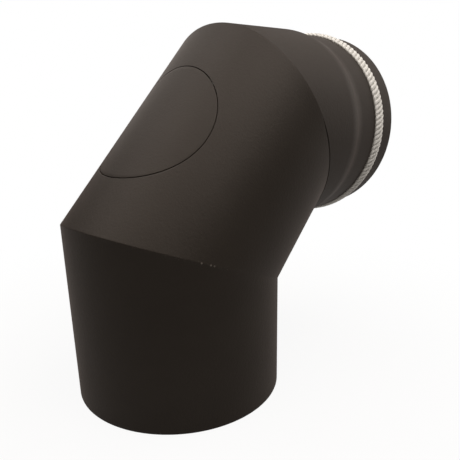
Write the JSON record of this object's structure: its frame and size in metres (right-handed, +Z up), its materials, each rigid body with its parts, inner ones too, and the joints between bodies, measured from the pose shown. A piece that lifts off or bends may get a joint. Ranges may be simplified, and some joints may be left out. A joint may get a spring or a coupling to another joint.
{
  "type": "flue elbow",
  "caption": "Mitred steel flue elbow that turns a stove pipe through a right angle, with a socket, a rope-sealed spigot and a flush cleaning hatch.",
  "frame": {"origin": "centre of the lower socket's mouth, in the plane of its rim", "axes": "+Z up the lower leg's axis, +X the way the spigot points, +Y across, so the elbow is symmetric about the XZ plane"},
  "size_m": [0.2591, 0.154, 0.2605],
  "materials": {
    "heat_paint": "matte heat-resistant paint, brown-black",
    "weld_bead": "rippled weld metal under thin paint",
    "bare_steel": "pressed sheet steel, unpolished",
    "gasket_fibre": "woven glass-fibre tape",
    "rope_fibre": "knitted glass-fibre rope, off-white",
    "fastener_steel": "plain stainless",
    "spring_wire": "drawn spring wire"
  },
  "bodies": {
    "elbow": {"lower_leg": "heat_paint", "middle_segment": "heat_paint", "upper_leg": "heat_paint", "lower_seam_weld": "weld_bead", "upper_seam_weld": "weld_bead", "hatch_seat_ring": "bare_steel", "seat_tack_welds": "weld_bead", "hatch_gasket": "gasket_fibre", "bridge_bar": "bare_steel", "bridge_washer": "fastener_steel", "hatch_spring": "spring_wire", "rope_seal": "rope_fibre"},
    "hatch": {"hatch_cover": "heat_paint", "hatch_stud": "fastener_steel", "stud_weld": "weld_bead", "spring_washer": "fastener_steel", "stud_nut": "fastener_steel", "lock_nut": "fastener_steel"}
  },
  "joints": [
    {"name": "hatch_pull", "type": "slide", "parent": "elbow", "child": "hatch", "axis": [-0.7071, 0, 0.7071], "range_m": [0, 0.012], "stiffness_N_per_m": 3950, "springref_m": -0.0075, "deforming": ["hatch_spring"]}
  ]
}
